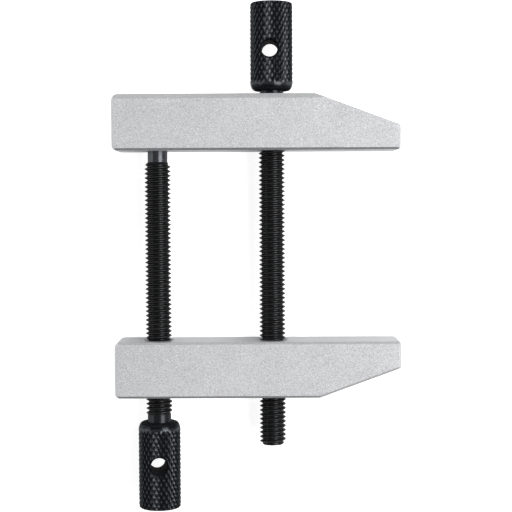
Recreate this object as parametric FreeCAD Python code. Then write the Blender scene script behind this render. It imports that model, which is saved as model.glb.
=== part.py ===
import FreeCAD, Part
import math
import os
from collections import namedtuple

from FreeCAD import Vector

# Toolmakers clamp, lying on its side: two jaws on two screws.
# Millimetres. +X runs to the noses, +Y from the lower jaw to the upper jaw along
# the spindles, +Z up from the side that the jaws lie on.
# The origin is on that side of the lower jaw, under the centre spindle's axis and
# halfway up the jaw's height.

# Jaws
jaw_height = 12.5
jaw_thickness = 12.5
jaw_opening = 42.5
spindle_spacing = 25.7
upper_nose_reach = 28.4
lower_nose_reach = 28.55
upper_tail_reach = 9.7
lower_tail_reach = 9.4
upper_nose_height = 5.5
lower_nose_height = 5.95
upper_taper_length = 18.9
lower_taper_length = 18.05
edge_bevel = 0.5
upper_outer_bevel = 1.1
tail_inner_radius = 1.1
upper_tail_outer_radius = 1.4
lower_tail_outer_radius = 1.0
nose_inner_radius = 0.6
upper_bevel_run_round = 0.4
lower_bevel_run_round = 0.1

# Holes in the jaws
thread_clearance = 0.05
thread_mouth_chamfer = 0.5
guide_clearance = 0.35
seat_depth = 1.0
socket_depth = 4.6
socket_mouth_chamfer = 0.3
tip_side_clearance = 0.05
tip_end_clearance = 0.05

# Spindles, M6 with the thread's crests as a plain cylinder
thread_diameter = 5.9
neck_diameter = 5.3
neck_length = 1.95
neck_run_out = 0.4
spindle_end_chamfer = 0.7
centre_projection = 11.3
tip_diameter = 4.45
tip_shown = 2.45
tip_end_chamfer = 0.6

# Knurled heads
head_diameter = 9.55
head_length = 19.55
shoulder_inset = 1.15
shoulder_drop = 2.0
head_end_chamfer = 0.3
spigot_length = 6.2
bore_mouth_chamfer = 0.25
cross_hole_diameter = 3.6
centre_hole_from_shoulder = 9.1
rear_hole_from_shoulder = 9.55
cross_hole_offset = 0.4
countersink_width = 0.55
countersink_angle = 60
centre_head_gap = 0.9
rear_head_gap = 6.0
centre_cross_hole_turn = -1.5
rear_cross_hole_turn = 7.5

# Heights and places worked out from the sizes above
axis_height = jaw_thickness / 2
lower_outer = -jaw_height / 2
lower_inner = jaw_height / 2
upper_inner = lower_inner + jaw_opening
upper_outer = upper_inner + jaw_height
centre_axis_x = 0.0
rear_axis_x = -spindle_spacing
centre_shoulder = upper_outer + centre_head_gap
rear_shoulder = lower_outer - rear_head_gap

thread_radius = thread_diameter / 2
neck_radius = neck_diameter / 2
tip_radius = tip_diameter / 2
head_radius = head_diameter / 2
cross_hole_radius = cross_hole_diameter / 2
tapped_radius = thread_radius + thread_clearance
guide_radius = thread_radius + guide_clearance
socket_radius = tip_radius + tip_side_clearance
cut_past = 1.0

along_spindles = Vector(0, 1, 0)

JawOutline = namedtuple("JawOutline", "tail_x knee_x nose_x nose_height tail_outer_radius nose_outer_radius")
lower_outline = JawOutline(
    tail_x=rear_axis_x - lower_tail_reach,
    knee_x=lower_nose_reach - lower_taper_length,
    nose_x=lower_nose_reach,
    nose_height=lower_nose_height,
    tail_outer_radius=lower_tail_outer_radius,
    nose_outer_radius=edge_bevel + lower_bevel_run_round,
)
upper_outline = JawOutline(
    tail_x=rear_axis_x - upper_tail_reach,
    knee_x=upper_nose_reach - upper_taper_length,
    nose_x=upper_nose_reach,
    nose_height=upper_nose_height,
    tail_outer_radius=upper_tail_outer_radius,
    nose_outer_radius=edge_bevel + upper_bevel_run_round,
)


def cylinder(radius, axis_x, y_from, y_to):
    """Cylinder round a spindle axis between two heights along it."""
    start = Vector(axis_x, y_from, axis_height)
    return Part.makeCylinder(radius, y_to - y_from, start, along_spindles)


def cone(axis_x, y_from, radius_from, y_to, radius_to):
    """Cone round a spindle axis, from one height and radius to another."""
    direction = along_spindles * math.copysign(1, y_to - y_from)
    start = Vector(axis_x, y_from, axis_height)
    return Part.makeCone(radius_from, radius_to, abs(y_to - y_from), start, direction)


def mouth(axis_x, face_y, inward, bore_radius, depth):
    """45 degree lead-in cut at a hole's mouth; inward is the sign of Y into the metal."""
    outside = face_y - inward * cut_past
    inside = face_y + inward * depth
    return cone(axis_x, outside, bore_radius + depth + cut_past, inside, bore_radius)


def turned(profile_edges, axis_x, y_from):
    """Solid of revolution; the profile is drawn with X as radius and Y along the axis."""
    face = Part.Face(Part.Wire(profile_edges))
    solid = face.revolve(Vector(0, 0, 0), along_spindles, 360)
    solid.translate(Vector(axis_x, y_from, axis_height))
    return solid


def chain(points):
    """Straight edges through the points in order."""
    pairs = zip(points, points[1:])
    return [Part.LineSegment(start, end).toShape() for start, end in pairs]


def facing_down(shape):
    """Turn a shape over about the jaws' mid plane, so that its +Y end points to -Y."""
    shape.rotate(Vector(0, 0, axis_height), Vector(1, 0, 0), 180)
    return shape


# The jaw, with its clamping face on Y = 0 and its outer side towards +Y

def rounded_outline_prism(sizes):
    """Side outline of a jaw through its full thickness, with its four end corners rounded."""
    tail_inner = Vector(sizes.tail_x, 0, 0)
    tail_outer = Vector(sizes.tail_x, jaw_height, 0)
    knee = Vector(sizes.knee_x, jaw_height, 0)
    nose_outer = Vector(sizes.nose_x, sizes.nose_height, 0)
    nose_inner = Vector(sizes.nose_x, 0, 0)
    outline = [tail_inner, tail_outer, knee, nose_outer, nose_inner, tail_inner]
    prism = Part.Face(Part.makePolygon(outline)).extrude(Vector(0, 0, jaw_thickness))

    corner_radii = [
        (tail_inner, tail_inner_radius),
        (tail_outer, sizes.tail_outer_radius),
        (nose_outer, sizes.nose_outer_radius),
        (nose_inner, nose_inner_radius),
    ]
    for corner, radius in corner_radii:
        upright = [
            edge
            for edge in prism.Edges
            if all(math.hypot(v.X - corner.x, v.Y - corner.y) < 1e-6 for v in edge.Vertexes)
        ]
        prism = prism.makeFillet(radius, upright)
    return prism


def bevelled(prism):
    """Break every edge round both side faces of a jaw."""
    side_edges = [
        edge
        for edge in prism.Edges
        if edge.BoundBox.ZLength < 1e-6
    ]
    return prism.makeChamfer(edge_bevel, side_edges)


def outer_bevel_wedge(z_edge, inward):
    """Wider bevel along one long outer edge; inward is the sign of Z into the metal."""
    start_x = upper_outline.tail_x - cut_past
    reach = upper_outer_bevel + cut_past
    corners = [
        Vector(start_x, jaw_height - upper_outer_bevel - cut_past, z_edge - inward * cut_past),
        Vector(start_x, jaw_height + cut_past, z_edge + inward * reach),
        Vector(start_x, jaw_height + cut_past, z_edge - inward * cut_past),
    ]
    triangle = Part.Face(Part.makePolygon(corners + corners[:1]))
    return triangle.extrude(Vector(upper_outline.nose_x + cut_past - start_x, 0, 0))


def lower_jaw():
    """Jaw with two tapped holes, each with a lead-in at both mouths."""
    jaw = facing_down(bevelled(rounded_outline_prism(lower_outline)))
    jaw.translate(Vector(0, lower_inner, 0))
    cuts = []
    for axis_x in (centre_axis_x, rear_axis_x):
        cuts.append(cylinder(tapped_radius, axis_x, lower_outer - cut_past, lower_inner + cut_past))
        cuts.append(mouth(axis_x, lower_inner, -1, tapped_radius, thread_mouth_chamfer))
        cuts.append(mouth(axis_x, lower_outer, 1, tapped_radius, thread_mouth_chamfer))
    return jaw.cut(cuts)


def upper_jaw():
    """Jaw with the centre spindle's guide hole and seat, and the rear tip's blind socket."""
    wedges = [outer_bevel_wedge(0, 1), outer_bevel_wedge(jaw_thickness, -1)]
    jaw = bevelled(rounded_outline_prism(upper_outline)).cut(wedges)
    jaw.translate(Vector(0, upper_inner, 0))
    guide = cylinder(guide_radius, centre_axis_x, upper_inner - cut_past, upper_outer + cut_past)
    seat = mouth(centre_axis_x, upper_outer, -1, guide_radius, seat_depth)
    guide_lead_in = mouth(centre_axis_x, upper_inner, 1, guide_radius, thread_mouth_chamfer)
    socket = cylinder(socket_radius, rear_axis_x, upper_inner - cut_past, upper_inner + socket_depth)
    socket_lead_in = mouth(rear_axis_x, upper_inner, 1, socket_radius, socket_mouth_chamfer)
    return jaw.cut([guide, seat, guide_lead_in, socket, socket_lead_in])


# The spindles, each drawn from its head's shoulder at Y = 0 with the shank towards +Y

def shank_points(thread_end):
    """Profile from the bottom of the spigot to the end of the full thread."""
    return [
        Vector(0, -spigot_length, 0),
        Vector(neck_radius, -spigot_length, 0),
        Vector(neck_radius, neck_length - neck_run_out, 0),
        Vector(thread_radius, neck_length, 0),
        Vector(thread_radius, thread_end, 0),
    ]


def centre_spindle():
    """Screw that runs down through both jaws and ends in a chamfer past the lower jaw."""
    length = centre_shoulder - (lower_outer - centre_projection)
    profile = shank_points(length - spindle_end_chamfer) + [
        Vector(thread_radius - spindle_end_chamfer, length, 0),
        Vector(0, length, 0),
        Vector(0, -spigot_length, 0),
    ]
    spindle = turned(chain(profile), centre_axis_x, 0)
    spindle = facing_down(spindle)
    spindle.translate(Vector(0, centre_shoulder, 0))
    return spindle


def rear_spindle():
    """Screw up through the lower jaw, ending in the plain tip that pushes in the socket."""
    thread_end = upper_inner - tip_shown - rear_shoulder
    tip_end = upper_inner + socket_depth - tip_end_clearance - rear_shoulder
    profile = shank_points(thread_end - (thread_radius - tip_radius)) + [
        Vector(tip_radius, thread_end, 0),
        Vector(tip_radius, tip_end - tip_end_chamfer, 0),
        Vector(tip_radius - tip_end_chamfer, tip_end, 0),
        Vector(0, tip_end, 0),
        Vector(0, -spigot_length, 0),
    ]
    return turned(chain(profile), rear_axis_x, rear_shoulder)


# The heads, each drawn with its shoulder on Y = 0 and its body towards -Y

def head():
    """Round-shouldered head, bored from its shoulder for the spigot."""
    shoulder_centre = Vector(head_radius - shoulder_inset, -shoulder_drop, 0)
    shoulder_side = Vector(head_radius, -shoulder_drop, 0)
    shoulder_top = Vector(head_radius - shoulder_inset, 0, 0)
    far_point, near_point = shoulder_side, shoulder_top
    if shoulder_drop > shoulder_inset:
        far_point, near_point = shoulder_top, shoulder_side
    oval = Part.Ellipse(far_point, near_point, shoulder_centre)
    rounding = Part.ArcOfEllipse(oval, 0, math.pi / 2)
    below = chain([
        shoulder_side,
        Vector(head_radius, head_end_chamfer - head_length, 0),
        Vector(head_radius - head_end_chamfer, -head_length, 0),
        Vector(0, -head_length, 0),
        Vector(0, -spigot_length, 0),
        Vector(neck_radius, -spigot_length, 0),
        Vector(neck_radius, -bore_mouth_chamfer, 0),
        Vector(neck_radius + bore_mouth_chamfer, 0, 0),
        shoulder_top,
    ])
    return turned([rounding.toShape()] + below, 0, 0)


def countersink(way):
    """Cutter for one mouth of the tommy bar hole, drawn about the origin; way is +1 or -1 along Z."""
    slope = math.tan(math.radians(countersink_angle / 2))
    depth = countersink_width / slope
    start = Vector(0, 0, way * (head_radius - depth))
    widest = cross_hole_radius + countersink_width + cut_past * slope
    return Part.makeCone(cross_hole_radius, widest, depth + cut_past, start, Vector(0, 0, way))


def cross_drilled(knob, axis_x, hole_y, turn):
    """Drill the tommy bar hole; turn tips its upper end towards the noses, in degrees."""
    start = Vector(0, 0, -head_diameter)
    drill = Part.makeCylinder(cross_hole_radius, 2 * head_diameter, start, Vector(0, 0, 1))
    cutters = [drill, countersink(1), countersink(-1)]
    for cutter in cutters:
        cutter.rotate(Vector(0, 0, 0), along_spindles, turn)
        cutter.translate(Vector(axis_x - cross_hole_offset, hole_y, axis_height))
    return knob.cut(cutters)


def centre_knob():
    """Head above the upper jaw."""
    knob = facing_down(head())
    knob.translate(Vector(centre_axis_x, centre_shoulder, 0))
    hole_y = centre_shoulder + centre_hole_from_shoulder
    return cross_drilled(knob, centre_axis_x, hole_y, centre_cross_hole_turn)


def rear_knob():
    """Head below the lower jaw."""
    knob = head()
    knob.translate(Vector(rear_axis_x, rear_shoulder, 0))
    hole_y = rear_shoulder - rear_hole_from_shoulder
    return cross_drilled(knob, rear_axis_x, hole_y, rear_cross_hole_turn)


pieces = {
    "lower_jaw": lower_jaw,
    "upper_jaw": upper_jaw,
    "centre_spindle": centre_spindle,
    "centre_knob": centre_knob,
    "rear_spindle": rear_spindle,
    "rear_knob": rear_knob,
}

os.makedirs("parts", exist_ok=True)
for node, build in pieces.items():
    shape = build()
    shape.exportStep(f"parts/{node}.step")
    box = shape.BoundBox
    print(
        f"{node}: {len(shape.Solids)} solid, {shape.Volume:.1f} mm3, "
        f"x {box.XMin:.2f} to {box.XMax:.2f}, y {box.YMin:.2f} to {box.YMax:.2f}, "
        f"z {box.ZMin:.2f} to {box.ZMax:.2f}, valid {shape.isValid()}"
    )
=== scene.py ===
"""Toolmakers clamp: two blasted steel jaws on two blackened M6 screws with knurled heads.

Sizes are in millimetres until a piece is finished, when its mesh is scaled to metres.
The clamp lies on its side: +X runs to the noses, +Y from the lower jaw to the upper jaw
along the screws, and +Z up towards the camera.
"""

import logging
import math
from dataclasses import dataclass, field
from enum import Enum
from typing import Iterable, NamedTuple

import bmesh
import bpy
from mathutils import Matrix, Vector


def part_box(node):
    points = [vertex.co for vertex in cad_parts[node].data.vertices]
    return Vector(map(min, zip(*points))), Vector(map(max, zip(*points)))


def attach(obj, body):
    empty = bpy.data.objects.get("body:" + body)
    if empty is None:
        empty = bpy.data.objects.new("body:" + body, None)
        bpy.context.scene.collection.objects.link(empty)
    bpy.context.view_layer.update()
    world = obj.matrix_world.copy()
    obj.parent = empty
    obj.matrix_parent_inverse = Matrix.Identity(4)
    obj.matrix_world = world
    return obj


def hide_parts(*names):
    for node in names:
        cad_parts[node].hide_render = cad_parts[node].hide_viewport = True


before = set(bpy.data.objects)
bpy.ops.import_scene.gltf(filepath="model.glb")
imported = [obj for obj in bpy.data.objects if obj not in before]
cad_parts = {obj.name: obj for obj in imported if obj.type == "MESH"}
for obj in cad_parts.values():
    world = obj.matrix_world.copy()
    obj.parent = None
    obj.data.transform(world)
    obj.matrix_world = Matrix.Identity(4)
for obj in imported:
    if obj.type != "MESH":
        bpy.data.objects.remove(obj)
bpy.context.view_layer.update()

log = logging.getLogger("toolmakers_clamp")

MM = 0.001
UP = Vector((0.0, 0.0, 1.0))
ALONG_SCREWS = Vector((0.0, 1.0, 0.0))

# Distances in millimetres within which points are merged, or lie on a cutting plane
MERGE = 1e-3
ON_PLANE = 1e-4

Colour = tuple[float, float, float]


class Body(Enum):
    """Rigid bodies that the pieces move with."""

    LOWER_JAW = "lower_jaw"
    UPPER_JAW = "upper_jaw"
    CENTRE_SCREW = "centre_screw"
    REAR_SCREW = "rear_screw"


class Slot(Enum):
    """Material slots of the record."""

    JAW = "jaw_steel"
    SPINDLE = "blackened_spindle"
    HEAD = "blackened_head"


class JawFinish(Enum):
    """Finishes of a jaw, and the painted light and shade of its bevels, as indices of its materials."""

    BLASTED = 0
    GROUND = 1
    # Painted light and shade on the bevels: a darker, a mid-grey and a paler copy of the blasted steel,
    # chosen by the way a bevel faces the lamps
    PAINTED_SHADE_BEVEL = 2
    PAINTED_HALF_SHADE_BEVEL = 3
    PAINTED_LIGHT_BEVEL = 4


class SpindleFinish(Enum):
    """Finishes of a spindle, as indices of its materials."""

    THREAD = 0
    TURNED = 1


class HeadFinish(Enum):
    """Finishes of a head, and the painted shade on its hole walls and shoulder, as indices of its
    materials.
    """

    KNURLED = 0
    # Painted shade: near-black on the hole walls and on the shoulder next to the jaw
    PAINTED_SHADE = 1


class Contrast(Enum):
    """Range of a noise value that is spread over a whole result; a narrower one is crisper."""

    SOFT = (0.3, 0.7)
    CLEAR = (0.35, 0.65)
    CRISP = (0.38, 0.62)


class Outward(Enum):
    """Way along Y that leads away from the work, as its sign."""

    UP = 1.0
    DOWN = -1.0


@dataclass(frozen=True)
class NodeBox:
    """Box round a construction node, in millimetres.

    Attributes:
        low: Its lowest corner.
        high: Its highest corner.
    """

    low: Vector
    high: Vector

    @classmethod
    def of(cls, node: str) -> "NodeBox":
        """Read a node's box from the frame."""
        low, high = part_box(node)
        return cls(low / MM, high / MM)

    @property
    def middle(self) -> Vector:
        """Centre of the box."""
        return (self.low + self.high) / 2

    @property
    def radius(self) -> float:
        """Radius of a round node that lies along Y."""
        return (self.high.x - self.low.x) / 2


class Ring(NamedTuple):
    """Circle round an axis that runs along Y, one point of a turned profile.

    Attributes:
        radius: Its radius.
        y: Its place along the axis.
    """

    radius: float
    y: float


class NodeTree:
    """Small helper that adds and links shader nodes of one material."""

    def __init__(self, name: str) -> None:
        """Make the material.

        Args:
            name: Name of the new material.
        """
        self.material = bpy.data.materials.new(name)
        self.material.use_nodes = True
        self.tree = self.material.node_tree
        self.shader = self.tree.nodes["Principled BSDF"]

    def add(self, kind: str, **values: object) -> bpy.types.Node:
        """Add a node.

        Args:
            kind: Blender's name of the node type.
            **values: Attributes of the node to set.

        Returns:
            The new node.
        """
        node = self.tree.nodes.new(kind)
        for name, value in values.items():
            setattr(node, name, value)
        return node

    def link(self, source: bpy.types.NodeSocket, target: bpy.types.NodeSocket) -> None:
        """Join two sockets."""
        self.tree.links.new(source, target)

    def math(self, operation: str, first: bpy.types.NodeSocket,
             second: bpy.types.NodeSocket | float = 0.0) -> bpy.types.NodeSocket:
        """Add a math node.

        Args:
            operation: Math operation.
            first: Socket to work on.
            second: Socket or number to work with, where the operation takes one.

        Returns:
            The result's socket.
        """
        node = self.add("ShaderNodeMath", operation=operation)
        self.link(first, node.inputs[0])
        if isinstance(second, bpy.types.NodeSocket):
            self.link(second, node.inputs[1])
        else:
            node.inputs[1].default_value = second
        return node.outputs[0]

    def place_in_mm(self, stretch: tuple[float, float, float] = (1.0, 1.0, 1.0)) -> bpy.types.NodeSocket:
        """Object coordinates in millimetres, stretched along the axes.

        Args:
            stretch: Factor on each axis; larger is finer.

        Returns:
            The vector's socket.
        """
        coordinate = self.add("ShaderNodeTexCoord")
        mapping = self.add("ShaderNodeMapping")
        mapping.inputs["Scale"].default_value = [factor / MM for factor in stretch]
        self.link(coordinate.outputs["Object"], mapping.inputs["Vector"])
        return mapping.outputs["Vector"]

    def noise(self, place: bpy.types.NodeSocket, scale: float, detail: float = 2.0,
              roughness: float = 0.5) -> bpy.types.NodeSocket:
        """Noise from 0 to 1 about a middle of 0.5.

        Args:
            place: Vector socket to read.
            scale: Features per millimetre.
            detail: Octaves.
            roughness: Share of each finer octave.

        Returns:
            The noise value's socket.
        """
        node = self.add("ShaderNodeTexNoise")
        node.inputs["Scale"].default_value = scale
        node.inputs["Detail"].default_value = detail
        node.inputs["Roughness"].default_value = roughness
        self.link(place, node.inputs["Vector"])
        return node.outputs["Fac"]

    def spread(self, value: bpy.types.NodeSocket, low: float, high: float,
               out_low: float = 0.0, out_high: float = 1.0) -> bpy.types.NodeSocket:
        """Map a range of a value to another range, clamped.

        Args:
            value: Socket to map.
            low: Value that maps to out_low.
            high: Value that maps to out_high.
            out_low: Result at low.
            out_high: Result at high.

        Returns:
            The result's socket.
        """
        node = self.add("ShaderNodeMapRange")
        self.link(value, node.inputs["Value"])
        node.inputs["From Min"].default_value = low
        node.inputs["From Max"].default_value = high
        node.inputs["To Min"].default_value = out_low
        node.inputs["To Max"].default_value = out_high
        return node.outputs["Result"]

    def colour(self, factor: bpy.types.NodeSocket, first: Colour, second: Colour) -> None:
        """Give the shader a mix of two colours.

        Args:
            factor: Socket with the share of the second colour.
            first: Colour at 0.
            second: Colour at 1.
        """
        node = self.add("ShaderNodeMix", data_type="RGBA")
        self.link(factor, node.inputs["Factor"])
        targets = [socket for socket in node.inputs if socket.type == "RGBA"]
        for value, target in zip((first, second), targets):
            target.default_value = (*value, 1.0)
        mixed = next(socket for socket in node.outputs if socket.type == "RGBA")
        self.link(mixed, self.shader.inputs["Base Color"])

    def bump(self, height: bpy.types.NodeSocket, depth_mm: float, strength: float) -> None:
        """Give the shader a normal from a height between 0 and 1.

        Args:
            height: Height socket.
            depth_mm: Height of a value of 1, in millimetres.
            strength: Share of the effect.
        """
        node = self.add("ShaderNodeBump")
        node.inputs["Strength"].default_value = strength
        node.inputs["Distance"].default_value = depth_mm * MM
        self.link(height, node.inputs["Height"])
        self.link(node.outputs["Normal"], self.shader.inputs["Normal"])


@dataclass(frozen=True)
class BlastedSteel:
    """Hardened steel with the fine grain of bead blasting.

    Attributes:
        name: Material name.
        pit_colour: Colour in the pits of the grain.
        crest_colour: Colour on the grain's crests.
        grain_per_mm: Grains per millimetre.
        grain_depth: Height of the grain in millimetres.
        grain_strength: Share of the grain's relief that shows.
        clouds_per_mm: Wide, faint patches per millimetre.
        cloud_tint: How far a patch shifts the mix of both colours.
        roughness_low: Roughness of the crests.
        roughness_high: Roughness of the pits.
        metal: Share of bare metal's reflection.
        specular: Level of the reflection that isn't metal's.
    """

    name: str = "blasted_steel"
    pit_colour: Colour = (0.41, 0.415, 0.43)
    crest_colour: Colour = (0.93, 0.935, 0.95)
    grain_per_mm: float = 9.0
    grain_depth: float = 0.016
    grain_strength: float = 0.6
    clouds_per_mm: float = 0.12
    cloud_tint: float = 0.05
    roughness_low: float = 0.55
    roughness_high: float = 0.68
    metal: float = 0.35
    specular: float = 0.3

    def material(self) -> bpy.types.Material:
        """Build the material.

        Returns:
            The finished material.
        """
        nodes = NodeTree(self.name)
        place = nodes.place_in_mm()
        grain = nodes.noise(place, self.grain_per_mm, detail=3.0, roughness=0.65)
        cloud = nodes.noise(place, self.clouds_per_mm)
        speckle = nodes.spread(grain, *Contrast.CRISP.value)
        shift = nodes.spread(cloud, *Contrast.SOFT.value, -self.cloud_tint, self.cloud_tint)
        mottled = nodes.math("ADD", speckle, shift)
        nodes.colour(mottled, self.pit_colour, self.crest_colour)
        nodes.shader.inputs["Metallic"].default_value = self.metal
        nodes.shader.inputs["Specular IOR Level"].default_value = self.specular
        rough = nodes.spread(grain, *Contrast.SOFT.value, self.roughness_high, self.roughness_low)
        nodes.link(rough, nodes.shader.inputs["Roughness"])
        nodes.bump(grain, self.grain_depth, self.grain_strength)
        return nodes.material


@dataclass(frozen=True)
class GroundSteel:
    """Clamping face, ground smooth along the jaw.

    Attributes:
        name: Material name.
        dark: Colour in the grinding lines.
        light: Colour between the lines.
        line_stretch: Factors that draw the lines out along the jaw.
        lines_per_mm: Lines per millimetre, before that stretch.
        line_depth: Depth of the lines in millimetres.
        line_strength: Share of the lines' relief that shows.
        roughness_low: Roughness between the lines.
        roughness_high: Roughness in the lines.
        metal: Share of bare metal's reflection.
        specular: Level of the reflection that isn't metal's.
    """

    name: str = "ground_steel"
    dark: Colour = (0.52, 0.525, 0.54)
    light: Colour = (0.63, 0.635, 0.65)
    line_stretch: tuple[float, float, float] = (0.12, 1.0, 9.0)
    lines_per_mm: float = 1.6
    line_depth: float = 0.004
    line_strength: float = 0.5
    roughness_low: float = 0.40
    roughness_high: float = 0.50
    metal: float = 0.6
    specular: float = 0.3

    def material(self) -> bpy.types.Material:
        """Build the material.

        Returns:
            The finished material.
        """
        nodes = NodeTree(self.name)
        along = nodes.place_in_mm(self.line_stretch)
        lines = nodes.noise(along, self.lines_per_mm, detail=3.0, roughness=0.6)
        nodes.colour(nodes.spread(lines, *Contrast.CLEAR.value), self.dark, self.light)
        nodes.shader.inputs["Metallic"].default_value = self.metal
        nodes.shader.inputs["Specular IOR Level"].default_value = self.specular
        rough = nodes.spread(lines, *Contrast.SOFT.value, self.roughness_high, self.roughness_low)
        nodes.link(rough, nodes.shader.inputs["Roughness"])
        nodes.bump(lines, self.line_depth, self.line_strength)
        return nodes.material


@dataclass(frozen=True)
class BlackOxide:
    """Oiled black oxide, worn a little brighter from one radius to another.

    Attributes:
        name: Material name.
        axis_x: X of the screw's axis in millimetres.
        axis_z: Height of the screw's axis in millimetres.
        worn_from: Radius at which wear starts, in millimetres.
        worn_to: Radius of full wear, in millimetres; it may be the smaller one.
        black: Colour where nothing is worn.
        worn: Colour of full wear.
        least_wear: Share of the wear that shows in the least worn patches.
        blotches_per_mm: Patches of oil and wear per millimetre.
        grain_per_mm: Grains per millimetre.
        grain_depth: Height of the grain in millimetres.
        grain_strength: Share of the grain's relief that shows.
        roughness_low: Roughness where the oil lies.
        roughness_high: Roughness of the dry oxide.
        metal: Share of bare metal's reflection.
        specular: Level of the reflection that isn't metal's.
        edge_tint: Strength of the reflection at a glancing angle.
    """

    name: str
    axis_x: float
    axis_z: float
    worn_from: float
    worn_to: float
    black: Colour = (0.027, 0.0275, 0.029)
    worn: Colour = (0.064, 0.065, 0.068)
    least_wear: float = 0.55
    blotches_per_mm: float = 0.7
    grain_per_mm: float = 9.0
    grain_depth: float = 0.006
    grain_strength: float = 0.5
    roughness_low: float = 0.22
    roughness_high: float = 0.34
    metal: float = 0.6
    specular: float = 0.5
    edge_tint: float = 0.35

    def radius(self, nodes: NodeTree) -> bpy.types.NodeSocket:
        """Distance from the screw's axis in millimetres.

        Args:
            nodes: Material that is being built.

        Returns:
            The distance's socket.
        """
        split = nodes.add("ShaderNodeSeparateXYZ")
        nodes.link(nodes.place_in_mm(), split.inputs["Vector"])
        across = nodes.math("SUBTRACT", split.outputs["X"], self.axis_x)
        above = nodes.math("SUBTRACT", split.outputs["Z"], self.axis_z)
        square = nodes.math("ADD", nodes.math("POWER", across, 2.0), nodes.math("POWER", above, 2.0))
        return nodes.math("SQRT", square)

    def material(self) -> bpy.types.Material:
        """Build the material.

        Returns:
            The finished material.
        """
        nodes = NodeTree(self.name)
        place = nodes.place_in_mm()
        blotch = nodes.noise(place, self.blotches_per_mm, detail=4.0)
        grain = nodes.noise(place, self.grain_per_mm)
        crest = nodes.spread(self.radius(nodes), self.worn_from, self.worn_to)
        patch = nodes.spread(blotch, *Contrast.SOFT.value, self.least_wear, 1.0)
        nodes.colour(nodes.math("MULTIPLY", crest, patch), self.black, self.worn)
        rough = nodes.spread(blotch, *Contrast.CLEAR.value, self.roughness_low, self.roughness_high)
        nodes.link(rough, nodes.shader.inputs["Roughness"])
        nodes.bump(grain, self.grain_depth, self.grain_strength)
        nodes.shader.inputs["Metallic"].default_value = self.metal
        nodes.shader.inputs["Specular IOR Level"].default_value = self.specular
        nodes.shader.inputs["Specular Tint"].default_value = (self.edge_tint,) * 3 + (1.0,)
        return nodes.material


@dataclass(frozen=True)
class TurnedOxide(BlackOxide):
    """Black oxide on the turned ends of the spindles, thinner on the tip than on the necks.

    Attributes:
        black: Colour of the necks.
        worn: Colour of the tip.
        roughness_low: Roughness where the oil lies.
        roughness_high: Roughness of the dry oxide.
    """

    black: Colour = (0.034, 0.036, 0.042)
    worn: Colour = (0.13, 0.136, 0.149)
    roughness_low: float = 0.20
    roughness_high: float = 0.28


@dataclass(frozen=True)
class KnurledOxide(BlackOxide):
    """Black oxide on a knurl, dark in the grooves and polished by fingers on the crests.

    Attributes:
        black: Colour in the grooves.
        worn: Colour of the crests.
        roughness_low: Roughness where the oil lies.
        roughness_high: Roughness of the dry oxide.
    """

    black: Colour = (0.0145, 0.016, 0.019)
    worn: Colour = (0.101, 0.109, 0.120)
    roughness_low: float = 0.12
    roughness_high: float = 0.20


@dataclass(frozen=True)
class PaintedShadeBlack:
    """Painted shade: near-black, matt colour on the walls of the heads' holes and on their shoulders next
    to the jaws, where shadow falls.

    Attributes:
        name: Material name.
        dark: Darkest colour.
        pale: Palest colour.
        blotches_per_mm: Patches of both colours per millimetre.
        roughness_low: Roughness of the dark patches.
        roughness_high: Roughness of the pale patches.
        specular: Level of the reflection.
    """

    name: str = "painted_shade_black"
    # Painted shade: both colours are near-black, standing in for shadow
    dark: Colour = (0.005, 0.0055, 0.007)
    pale: Colour = (0.012, 0.013, 0.016)
    blotches_per_mm: float = 2.0
    roughness_low: float = 0.65
    roughness_high: float = 0.8
    specular: float = 0.06

    def material(self) -> bpy.types.Material:
        """Build the material.

        Returns:
            The finished material.
        """
        nodes = NodeTree(self.name)
        blotch = nodes.noise(nodes.place_in_mm(), self.blotches_per_mm, detail=3.0)
        nodes.colour(nodes.spread(blotch, *Contrast.SOFT.value), self.dark, self.pale)
        rough = nodes.spread(blotch, *Contrast.SOFT.value, self.roughness_low, self.roughness_high)
        nodes.link(rough, nodes.shader.inputs["Roughness"])
        nodes.shader.inputs["Specular IOR Level"].default_value = self.specular
        return nodes.material


def edge_chain(shape: bmesh.types.BMesh, points: Iterable[Vector]) -> list[bmesh.types.BMEdge]:
    """Add points joined in order.

    Args:
        shape: Mesh to add to.
        points: Places of the vertices.

    Returns:
        The new edges.
    """
    verts = [shape.verts.new(point) for point in points]
    return [shape.edges.new(pair) for pair in zip(verts, verts[1:])]


def revolved(profile: list[Ring], axis: Vector, steps: int) -> bmesh.types.BMesh:
    """Solid of revolution about a line along Y.

    Args:
        profile: Rings from one end on the axis to the other.
        axis: A point of the axis.
        steps: Faces round the full turn.

    Returns:
        The closed mesh.
    """
    shape = bmesh.new()
    edges = edge_chain(shape, [Vector((axis.x + ring.radius, ring.y, axis.z)) for ring in profile])
    bmesh.ops.spin(shape, geom=shape.verts[:] + edges, cent=axis, axis=ALONG_SCREWS,
                   angle=2 * math.pi, steps=steps, use_merge=True)
    bmesh.ops.remove_doubles(shape, verts=shape.verts[:], dist=MERGE)
    bmesh.ops.recalc_face_normals(shape, faces=shape.faces[:])
    return shape


def rough_object(shape: bmesh.types.BMesh, name: str) -> bpy.types.Object:
    """Make an object of a mesh that is still in millimetres.

    Args:
        shape: Mesh, freed by this call.
        name: Name of the object.

    Returns:
        The new object, linked to the scene.
    """
    mesh = bpy.data.meshes.new(name)
    shape.to_mesh(mesh)
    shape.free()
    thing = bpy.data.objects.new(name, mesh)
    bpy.context.scene.collection.objects.link(thing)
    return thing


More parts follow.
